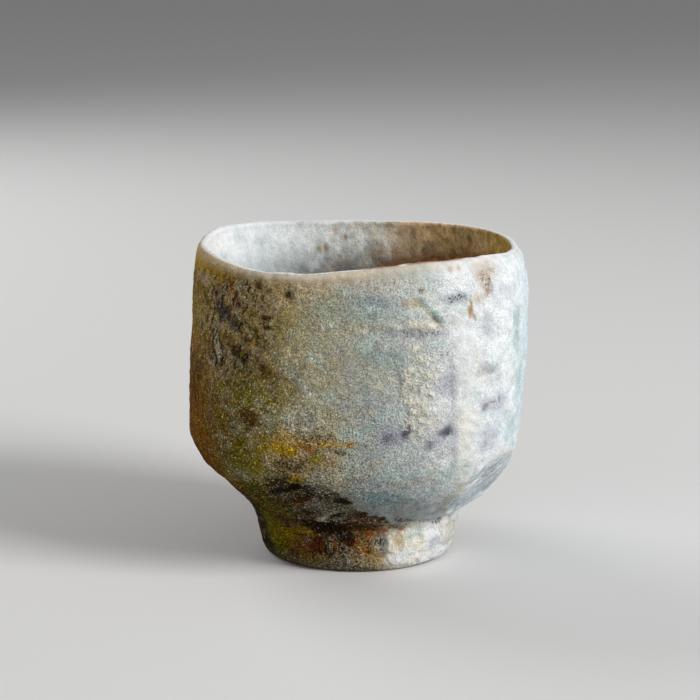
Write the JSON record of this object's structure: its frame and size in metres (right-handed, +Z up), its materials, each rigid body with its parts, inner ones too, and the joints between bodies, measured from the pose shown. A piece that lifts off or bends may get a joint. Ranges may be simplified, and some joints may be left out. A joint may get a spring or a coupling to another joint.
{
  "type": "sake cup",
  "caption": "Hand-formed stoneware sake cup with a rounded-square bowl, wavy in-curled lip, a knife-cut lower corner and a raised foot ring, in a mottled ash finish.",
  "frame": {"origin": "centre of the cup's box in X and Y, on the plane that the foot ring rests on", "axes": "+Z up through the mouth; -Y towards the pictured front; +X to the right seen from the front, towards the knife-cut corner"},
  "size_m": [0.0643, 0.0632, 0.0604],
  "materials": {
    "ash_glaze": "satin ash glaze over coarse stoneware",
    "scorched_clay": "fired clay with ash and scorch marks"
  },
  "bodies": {
    "root": {"cup_body": "ash_glaze", "foot_ring": "scorched_clay"}
  },
  "joints": []
}
